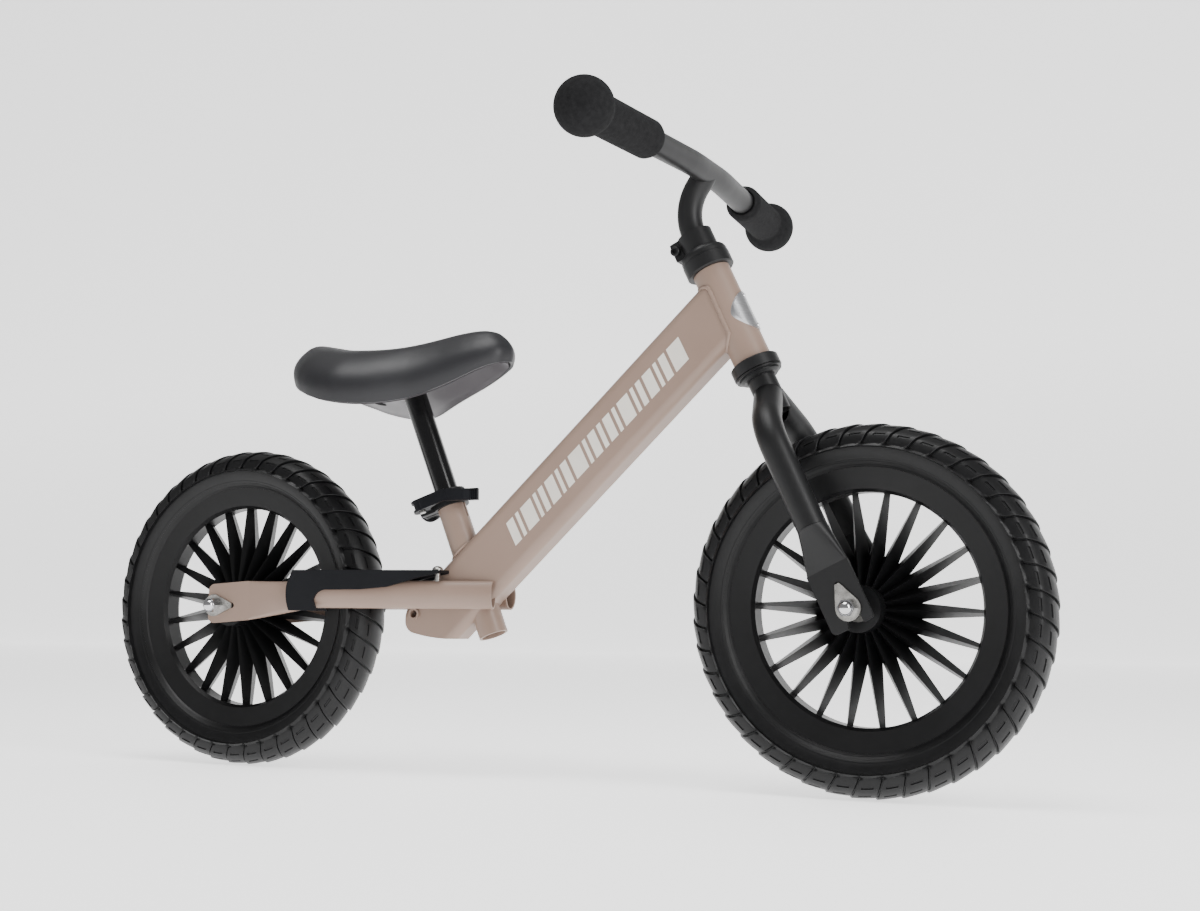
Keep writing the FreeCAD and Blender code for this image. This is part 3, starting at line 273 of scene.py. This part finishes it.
def arc(start, end, radius, steps):
    """Points on an arc that bulges to the left of the way from start to end. The end is left out."""
    start, end = Vector(start), Vector(end)
    chord = end - start
    right = Vector((chord.y, -chord.x)).normalized()
    middle = (start + end) / 2 + right * math.sqrt(max(radius ** 2 - (chord.length / 2) ** 2, 0))
    first = math.atan2(start.y - middle.y, start.x - middle.x)
    sweep = -2 * math.asin(min(chord.length / 2 / radius, 1))
    turns = [first + sweep * i / steps for i in range(steps)]
    return [middle + Vector((math.cos(turn), math.sin(turn))) * radius for turn in turns]


def weld_bead(name, path, radius, ripples):
    """A weld bead on the frame: a thin round bar along a closed path of points, with a light ripple."""
    ripple = 0.12
    sides = 10
    count = len(path)
    points = []
    for i in range(count):
        along = (path[(i + 1) % count] - path[i - 1]).normalized()
        side = along.orthogonal().normalized() if abs(along.y) > 0.999 else along.cross(LEFT).normalized()
        over = along.cross(side)
        size = radius * (1 + ripple * math.sin(TURN * ripples * i / count))
        for j in range(sides):
            angle = TURN * j / sides
            points.append(path[i] + side * (size * math.cos(angle)) + over * (size * math.sin(angle)))
    return piece(name, points, grid_faces(count, sides, True, True), frame_paint, "frame",
                 sharp=180)


# --------------------------------------------------------------------------------------------
# Tyres: a smooth side wall under slanted tread blocks, each with small slots
# --------------------------------------------------------------------------------------------

BLOCKS = 44
BLOCK_SLANT = 0.75
GROOVE_DEPTH = 2.4
GROOVE_FLOOR = 0.055
GROOVE_SHARE = 0.075
BLOCK_TILT = 1.5
EDGE_SHARE, EDGE_DROP = 0.02, 0.35
CORNER_SHARE, CORNER_DROP = 0.12, 1.8
CORNER_REACH = 0.16
SLOT_DEPTH = 0.9
SLOT_START, SLOT_END = 0.32, 0.8
SLOT_BANDS = [(0.27, 0.32), (0.6, 0.65)]
WALL_INSET = 1.3
WALL_STEPS = 40
# Rings on the side wall, from the rim outwards: (start, end, height). A negative height is a groove.
WALL_RINGS = [(0.04, 0.15, 1.1), (0.15, 0.21, -0.6), (0.32, 0.36, 0.5)]


def tread_half():
    """Across half the tread, from the shoulder to the crown: (share of the way, place, direction)."""
    crown = Vector((TYRE_RADIUS, 0))
    line = arc(SHOULDER, TREAD_EDGE, SHOULDER_ARC, 24) + arc(TREAD_EDGE, crown, TREAD_ARC, 48) + [crown]
    lengths = [0]
    for a, b in zip(line, line[1:]):
        lengths.append(lengths[-1] + (b - a).length)

    def at(share):
        want = share * lengths[-1]
        i = max(k for k, length in enumerate(lengths[:-1]) if length <= want)
        part = (want - lengths[i]) / (lengths[i + 1] - lengths[i])
        return line[i].lerp(line[i + 1], part), (line[i + 1] - line[i]).normalized()

    shares = [0, 0.012, 0.03, 0.06, 0.09, CORNER_SHARE, 0.2]
    for low, high in SLOT_BANDS:
        shares += [low - 0.008, low + 0.004, high - 0.004, high + 0.008]
    shares += [0.4, 0.48, 0.54, 0.73, 0.8, 0.87, 0.94, 1.0]
    return [(share, *at(share)) for share in sorted(shares)]


def slot_share(share):
    return any(low <= share <= high for low, high in SLOT_BANDS)


def block_height(along, share):
    """How far the tread lies below its full outline, at a place along one block and across the tread."""
    if along <= GROOVE_FLOOR:
        return GROOVE_DEPTH
    from_edge = min(along - GROOVE_SHARE, 1 - along)
    drop = BLOCK_TILT * (1 - along) + EDGE_DROP * max(0, 1 - from_edge / EDGE_SHARE)
    if SLOT_START <= along <= SLOT_END and slot_share(share):
        drop += SLOT_DEPTH
    if share < CORNER_SHARE:
        drop += CORNER_DROP * (1 - share / CORNER_SHARE) * max(0, 1 - from_edge / CORNER_REACH)
    if share < 0.02:
        drop += WALL_INSET * (1 - share / 0.02)
    return min(drop, GROOVE_DEPTH)


def side_wall():
    """The side wall's places from the rim to the shoulder, with its raised and sunken rings."""
    rim_edge = (BEAD_RADIUS, RIM_HALF_WIDTH)
    places = []
    for i, spot in enumerate(arc(rim_edge, SHOULDER, WALL_ARC, WALL_STEPS)):
        share = i / WALL_STEPS
        inset = WALL_INSET * min(share * 6, 1)
        for start, end, height in WALL_RINGS:
            if start < share < end:
                inset -= height
        out = Vector((0.55, 0.83)) if share < 0.5 else Vector((0.2, 0.98))
        places.append((None, spot - out * inset, None))
    return places


def tyre(name, axle, body, node):
    """A moulded tyre: one cross-section, repeated at every stop along each tread block."""
    across = []
    for side in (-1, 1):
        foot = [RIM_SEAT, Vector((BEAD_RADIUS, RIM_SEAT.y))]
        half = [(None, spot, None) for spot in foot] + side_wall() + tread_half()
        rows = [(share, spot, way, side) for share, spot, way in half]
        across += rows if side < 0 else rows[:-1][::-1]
    stops = [0, GROOVE_FLOOR, GROOVE_SHARE, GROOVE_SHARE + EDGE_SHARE, 0.15, 0.22,
             SLOT_START - 0.01, SLOT_START, 0.45, 0.65, SLOT_END, SLOT_END + 0.01,
             0.87, 0.93, 1 - EDGE_SHARE, 0.998]
    pitch = TURN / BLOCKS
    points = []
    for block in range(BLOCKS):
        for along in stops:
            for share, spot, way, side in across:
                radius, half = spot
                slant_share = share or 0
                if share is not None:
                    inward = Vector((-way.y, way.x))
                    if inward.x > 0:
                        inward.negate()
                    radius, half = spot + inward * block_height(along, share)
                slant = BLOCK_SLANT * (slant_share if side < 0 else 2 - slant_share)
                angle = -(block + along + slant) * pitch
                away = Vector((radius * math.cos(angle), side * half, radius * math.sin(angle)))
                points.append(axle + away)
    columns = BLOCKS * len(stops)
    return piece(name, points, grid_faces(columns, len(across), True, True), tyre_foam, body,
                 [node], sharp=28)


tyre("front_tyre_tread", FRONT_AXLE, "front_wheel", "front_tyre")
tyre("rear_tyre_tread", REAR_AXLE, "rear_wheel", "rear_tyre")


# --------------------------------------------------------------------------------------------
# Grips: foam sleeves that end in balls
# --------------------------------------------------------------------------------------------

def grip(name, side, node):
    """A foam sleeve on the handlebar's end, which widens through a soft neck into a ball."""
    sweep = math.radians(BAR_SWEEP)
    middle = BAR_MIDDLE + Vector((-(BALL_MIDDLE - BAR_BEND) * math.tan(sweep), side * BALL_MIDDLE, 0))
    outwards = Vector((-math.sin(sweep), side * math.cos(sweep), 0))
    place = Matrix.Translation(middle) @ outwards.to_track_quat("Z", "Y").to_matrix().to_4x4()
    neck_radius = 7
    meet = math.sqrt((BALL_RADIUS + neck_radius) ** 2 - (GRIP_RADIUS + neck_radius) ** 2)
    neck_turn = math.atan2(meet, GRIP_RADIUS + neck_radius)
    profile = [(TUBE_RADIUS, 1.5 - GRIP_LENGTH), (TUBE_RADIUS + 0.6, 0.3 - GRIP_LENGTH),
               (TUBE_RADIUS + 2, -GRIP_LENGTH), (GRIP_RADIUS - 3.5, 0.8 - GRIP_LENGTH),
               (GRIP_RADIUS - 1.2, 2.6 - GRIP_LENGTH), (GRIP_RADIUS, 6 - GRIP_LENGTH)]
    sleeve_start = 6 - GRIP_LENGTH
    sleeve_steps, neck_steps, ball_steps = 24, 6, 26
    for i in range(1, sleeve_steps + 1):
        profile.append((GRIP_RADIUS, sleeve_start - (sleeve_start + meet) * i / sleeve_steps))
    for i in range(1, neck_steps + 1):
        turn = neck_turn * i / neck_steps
        profile.append((GRIP_RADIUS + neck_radius - neck_radius * math.cos(turn),
                        -meet + neck_radius * math.sin(turn)))
    for i in range(1, ball_steps):
        turn = -neck_turn + (math.pi / 2 + neck_turn) * i / ball_steps
        profile.append((BALL_RADIUS * math.cos(turn), BALL_RADIUS * math.sin(turn)))
    profile += [(0.4, BALL_RADIUS), (0.4, -BALL_BORE), (TUBE_RADIUS, -BALL_BORE)]
    points, faces = lathe(profile, place, 96)
    made = piece(name, points, faces, grip_foam, "handlebar_set", [node], sharp=60)
    return made


grip("left_foam_grip", 1, "left_grip")
grip("right_foam_grip", -1, "right_grip")


# --------------------------------------------------------------------------------------------
# Saddle: a padded cover wrapped round a moulded pan
# --------------------------------------------------------------------------------------------

# The rim of the saddle's underside, from tail to nose: (forwards, half width, height).
RIM = [(-257, 0, 378), (-254, 17, 376), (-243.5, 36.5, 369), (-228, 52, 361), (-216, 60.5, 356.3),
       (-205, 66, 352), (-190, 70, 347.8), (-175, 71.5, 345), (-160, 67.5, 343.3), (-145, 61, 343.3),
       (-130, 51.5, 345), (-115, 42, 348.5), (-100, 35.8, 353.3), (-85, 32, 358.7), (-70, 29.8, 364.6),
       (-56, 27.2, 370.7), (-42, 22.6, 377), (-30, 14, 381.5), (-24, 0, 383.5)]
# The saddle's ridge line, from tail to nose: (forwards, height).
CREST = [(-257, 404), (-250, 410.5), (-240, 412.5), (-217, 408.5), (-193, 403.8), (-170, 402), (-147, 402.3),
         (-125, 405), (-102, 409), (-80, 412.8), (-57, 414.6), (-43, 411.5), (-34, 406), (-24, 396)]
TAIL, NOSE = -257, -24
TAIL_SPINE, NOSE_SPINE = -240, -52
PAN_ARCH = 17


def smooth_line(points, share):
    """A point on the soft curve through some points, at a share of the way along it."""
    last = len(points) - 1
    where = min(max(share, 0), 1) * last
    i = min(int(where), last - 1)
    t = where - i
    a, b, c, d = [Vector(points[min(max(k, 0), last)]) for k in (i - 1, i, i + 1, i + 2)]
    return 0.5 * ((2 * b) + (c - a) * t + (2 * a - 5 * b + 4 * c - d) * t ** 2
                  + (3 * b - a - 3 * c + d) * t ** 3)


def crest_height(x):
    """The ridge line's height at a place along the saddle."""
    if x <= CREST[0][0]:
        return CREST[0][1]
    for i, ((x0, _), (x1, _)) in enumerate(zip(CREST, CREST[1:])):
        if x <= x1:
            return smooth_line(CREST, (i + (x - x0) / (x1 - x0)) / (len(CREST) - 1)).y
    return CREST[-1][1]


RIM_STEPS = 168


def rim_loop():
    """The rim as a closed loop, its right side from nose to tail and its left side back."""
    half = [smooth_line(RIM, i / (RIM_STEPS / 2)) for i in range(RIM_STEPS // 2 + 1)]
    right = [Vector((x, -max(y, 0), z)) for x, y, z in half[::-1]]
    left = [Vector((x, max(y, 0), z)) for x, y, z in half[1:-1]]
    return right + left


def spine_under(x):
    """Where the surface that starts from the rim at x meets the saddle's middle plane."""
    return TAIL_SPINE + (x - TAIL) * (NOSE_SPINE - TAIL_SPINE) / (NOSE - TAIL)


def rim_inward(loop):
    """For each point of the rim, the level direction towards the inside of the saddle."""
    directions = []
    for i in range(len(loop)):
        along = loop[(i + 1) % len(loop)] - loop[i - 1]
        directions.append(Vector((along.y, -along.x, 0)).normalized())
    return directions


def saddle_cover():
    """The cushion: a lip folded under the rim, then rings that rise from the rim to the ridge line."""
    loop = rim_loop()
    inward = rim_inward(loop)
    rings = 22
    fullness = 2.35
    swell_share = 0.075
    lip = [(3.6, 2.4), (3.456, 0.4), (1.8, -0.1)]
    points = []
    for reach, rise in lip:
        for i, spot in enumerate(loop):
            points.append(spot + inward[i] * reach + UP * rise)
    for ring in range(rings + 1):
        turn = math.pi / 2 * ring / rings
        across = 1 - math.cos(turn) ** (2 / fullness)
        rise = math.sin(turn) ** (2 / fullness)
        for i, spot in enumerate(loop):
            spine_x = spine_under(spot.x)
            top = Vector((spine_x, 0, crest_height(spine_x)))
            height = top.z - spot.z
            swell = swell_share * height * math.sin(math.pi * min(rise * 1.25, 1)) * (1 - across)
            flat = spot.lerp(top, across)
            points.append(Vector((flat.x, flat.y, spot.z + height * rise)) - inward[i] * swell)
    faces = grid_faces(len(lip) + rings + 1, RIM_STEPS, wrap_columns=True)
    made = piece("saddle_cushion", points, faces, saddle_vinyl, "saddle_set",
                 ["saddle_cover"], sharp=70)
    return made


def pan_height(spot, share):
    """The pan's underside, between its edge (share 0) and the middle plane (share 1)."""
    spine_x = spine_under(spot.x)
    way_along = min(max((spine_x - TAIL) / (NOSE - TAIL), 0), 1)
    arch = PAN_ARCH * math.sin(math.pi * way_along) ** 0.6
    return spot.z + arch * math.sin(math.pi / 2 * share) ** 1.3


def saddle_pan():
    """The moulded base: a thin arched shell inside the rim, with a raised bead round its edge."""
    loop = rim_loop()
    inward = rim_inward(loop)
    inset, wall, bead_height = 4.2, 2.6, 1.4
    rings = 14
    points = []
    for layer in (0, 1):
        for ring in range(rings + 1):
            share = ring / rings if layer == 0 else 1 - ring / rings
            for i, spot in enumerate(loop):
                edge = spot + inward[i] * inset
                spine = Vector((spine_under(spot.x), 0, 0))
                flat = edge.lerp(spine, share)
                height = pan_height(spot, share)
                bead_rise = bead_height * math.exp(-(share / 0.035) ** 2)
                height += wall if layer else 0.6 - bead_rise
                points.append(Vector((flat.x, flat.y, height)))
    faces = grid_faces(2 * rings + 2, RIM_STEPS, True, True)
    return piece("saddle_pan", points, faces, pan_plastic, "saddle_set", ["saddle_base"],
                 sharp=50)


def pan_opening_shade(name, pan, middle, half_long, half_wide):
    """A flat dark oval of painted shade just under the pan's underside, standing in for the shaded inside of
    an opening there, longer along the saddle than across it.
    """
    below = 300
    steps = 28
    proud = 0.25
    points = []
    for share in (0, 1):
        for i in range(steps if share else 1):
            angle = TURN * i / steps
            x = middle[0] + share * half_long * math.cos(angle)
            y = middle[1] + share * half_wide * math.sin(angle)
            hit, spot, _, _ = pan.ray_cast(Vector((x, y, below)) * MM, UP)
            points.append((x, y, spot.z / MM - proud))
    faces = [[0, 1 + i, 1 + (i + 1) % steps] for i in range(steps)]
    return piece(name, points, faces, hole_painted_shade, "saddle_set")


def post_collar():
    """The moulded collar where the seat post enters the pan."""
    inner, outer, foot, top = TUBE_RADIUS + 0.15, 16.5, 247, 262
    profile = [(inner, foot + 1), (inner + 1, foot), (outer - 1.2, foot), (outer, foot + 1.2),
               (outer + 1, top), (inner, top)]
    points, faces = lathe(profile, SEAT_AXIS, 64)
    return piece("post_collar", points, faces, pan_plastic, "saddle_set", sharp=50)


saddle_cover()
pan = saddle_pan()
post_collar()
bpy.context.view_layer.update()
# Painted shade: dark ovals under the pan, where its openings would show shade, since the pan itself is not
# cut.
pan_opening_shade("nose_hole_shade", pan, (-55, 2), 4, 3)
pan_opening_shade("left_pan_slot_shade", pan, (-196, 38), 9, 4)
pan_opening_shade("right_pan_slot_shade", pan, (-196, -38), 9, 4)


# --------------------------------------------------------------------------------------------
# Weld beads
# --------------------------------------------------------------------------------------------

def along_to_cylinder(start, way, origin, axis, radius):
    """From start along way to the first point on a cylinder."""
    away = start - origin
    flat_way = way - axis * way.dot(axis)
    flat_away = away - axis * away.dot(axis)
    a = flat_way.dot(flat_way)
    b = 2 * flat_way.dot(flat_away)
    c = flat_away.dot(flat_away) - radius ** 2
    return start + way * ((-b - math.sqrt(max(b * b - 4 * a * c, 0))) / (2 * a))


def down_tube_section(steps):
    """Points round the down tube's rounded rectangle, steps to a corner: (above, to the left)."""
    half, side, edge = DOWN_TUBE_HALF_DEPTH, DOWN_TUBE_HALF_WIDTH, DOWN_TUBE_EDGE
    points = []
    corners = [(half - edge, side - edge, 0), (edge - half, side - edge, 1),
               (edge - half, edge - side, 2), (half - edge, edge - side, 3)]
    for up_by, side_by, quarter in corners:
        for i in range(steps):
            angle = math.pi / 2 * (quarter + i / steps)
            points.append((up_by + edge * math.cos(angle), side_by + edge * math.sin(angle)))
    return points


def even_path(path, step):
    """The same closed path with points about step apart."""
    result = []
    for i, spot in enumerate(path):
        after = path[(i + 1) % len(path)]
        parts = max(1, round((after - spot).length / step))
        result += [spot.lerp(after, k / parts) for k in range(parts)]
    return result


def head_tube_weld():
    """The bead where the down tube meets the head tube."""
    axis = (STEERING.to_3x3() @ UP).normalized()
    path = []
    for up_by, side_by in down_tube_section(8):
        start = DOWN_TUBE_MIDDLE + ABOVE_DOWN_TUBE * up_by + LEFT * side_by
        path.append(along_to_cylinder(start, ALONG_DOWN_TUBE, FRONT_AXLE, axis, HEAD_RADIUS))
    weld_bead("head_tube_weld", even_path(path, 2), 1.9, ripples=60)


def seat_tube_weld():
    """The bead where the seat tube meets the top of the down tube."""
    axis = (SEAT_AXIS.to_3x3() @ UP).normalized()
    radius, height, steps = SEAT_TUBE_RADIUS, 141, 72
    path = []
    for i in range(steps):
        angle = TURN * i / steps
        start = SEAT_AXIS @ Vector((radius * math.cos(angle), radius * math.sin(angle), height))
        above = (start - DOWN_TUBE_MIDDLE).dot(ABOVE_DOWN_TUBE) - DOWN_TUBE_HALF_DEPTH
        path.append(start - axis * (above / axis.dot(ABOVE_DOWN_TUBE)))
    weld_bead("seat_tube_weld", path, 1.6, ripples=30)


head_tube_weld()
seat_tube_weld()


# --------------------------------------------------------------------------------------------
# Graphic on the down tube's sides: plain slanted bars
# --------------------------------------------------------------------------------------------

DECAL_START, DECAL_END = 8, 232
DECAL_HALF_HEIGHT = 11
DECAL_LEAN = 0.3
DECAL_PROUD = 0.06
BAR_WIDTHS = [9, 4, 14, 4, 6, 11, 4, 8, 16, 4, 9, 5]
BAR_GAP = 3.2


def decal(name, side):
    """A row of slanted bars of mixed widths, just proud of one side of the down tube."""
    points, faces = [], []
    at, i = DECAL_START, 0
    stand = DOWN_TUBE_HALF_WIDTH + DECAL_PROUD
    while at < DECAL_END:
        wide = BAR_WIDTHS[i % len(BAR_WIDTHS)]
        for forward, high in ((at, -1), (at + wide, -1), (at + wide, 1), (at, 1)):
            lean = high * DECAL_LEAN * DECAL_HALF_HEIGHT
            spot = DOWN_TUBE_MIDDLE + ALONG_DOWN_TUBE * (forward + lean) + \
                ABOVE_DOWN_TUBE * (high * DECAL_HALF_HEIGHT)
            points.append(spot + LEFT * side * stand)
        first = len(points) - 4
        faces.append([first, first + 1, first + 2, first + 3])
        at += wide + BAR_GAP
        i += 1
    return piece(name, points, faces, decal_ink, "frame")


decal("right_graphic", -1)
decal("left_graphic", 1)


# --------------------------------------------------------------------------------------------
# Studio: a pale sweep, soft lights and the camera
# --------------------------------------------------------------------------------------------

def studio():
    """A curved backdrop, an even world and two soft lights."""
    backdrop = bpy.data.materials.new("backdrop")
    backdrop.use_nodes = True
    shader = backdrop.node_tree.nodes["Principled BSDF"]
    shader.inputs["Base Color"].default_value = (0.95, 0.95, 0.95, 1)
    shader.inputs["Roughness"].default_value = 0.7
    shader.inputs["Emission Color"].default_value = (1, 1, 1, 1)
    shader.inputs["Emission Strength"].default_value = 1.3
    near, far, high, wide = -6, 9, 6, 14
    curve, curve_steps = 2.0, 12
    line = [(near, 0.0), (far - curve, 0.0)]
    for i in range(1, curve_steps + 1):
        turn = math.pi / 2 * i / curve_steps
        line.append((far - curve + curve * math.sin(turn), curve - curve * math.cos(turn)))
    line.append((far, high))
    points = [(x, y, z) for x in (-wide, wide) for y, z in line]
    mesh = bpy.data.meshes.new("floor")
    mesh.from_pydata(points, [], grid_faces(2, len(line)))
    mesh.materials.append(backdrop)
    mesh.shade_smooth()
    floor = bpy.data.objects.new("floor", mesh)
    bpy.context.scene.collection.objects.link(floor)

    world = bpy.data.worlds.new("studio")
    world.use_nodes = True
    world.node_tree.nodes["Background"].inputs["Color"].default_value = (1, 1, 1, 1)
    world.node_tree.nodes["Background"].inputs["Strength"].default_value = 0.3
    bpy.context.scene.world = world

    def area(name, place, aim, width, height, power):
        lamp = bpy.data.lights.new(name, "AREA")
        lamp.shape = "RECTANGLE"
        lamp.size = width
        lamp.size_y = height
        lamp.energy = power
        thing = bpy.data.objects.new(name, lamp)
        thing.location = place
        thing.rotation_euler = (Vector(aim) - Vector(place)).to_track_quat("-Z", "Y").to_euler()
        bpy.context.scene.collection.objects.link(thing)

    area("top_light", (-0.1, -0.5, 2.2), (0, 0, 0.2), 1.4, 1.2, 34)
    area("front_light", (2.1, -0.9, 1.1), (0.1, 0, 0.3), 0.7, 1.6, 34)


def camera():
    """The camera: level sight line turned left, then tipped up and rolled a little."""
    view = bpy.data.cameras.new("camera")
    view.sensor_width = 36
    view.lens = 48.9
    view.clip_start = 0.01
    thing = bpy.data.objects.new("camera", view)
    bpy.context.scene.collection.objects.link(thing)
    heading, pitch, roll = math.radians(25.872), math.radians(6.077), 0.0112
    forwards = Vector((-math.sin(heading), math.cos(heading), 0))
    ahead = forwards * math.cos(pitch) + UP * math.sin(pitch)
    level = Vector((math.cos(heading), math.sin(heading), 0))
    above = level.cross(ahead)
    right = level * math.cos(roll) + above * math.sin(roll)
    top = above * math.cos(roll) - level * math.sin(roll)
    turn = Matrix((right, top, -ahead)).transposed().to_4x4()
    thing.matrix_world = Matrix.Translation((0.70746, -1.31734, 0.1363)) @ turn
    bpy.context.scene.camera = thing


studio()
camera()

bpy.context.view_layer.update()
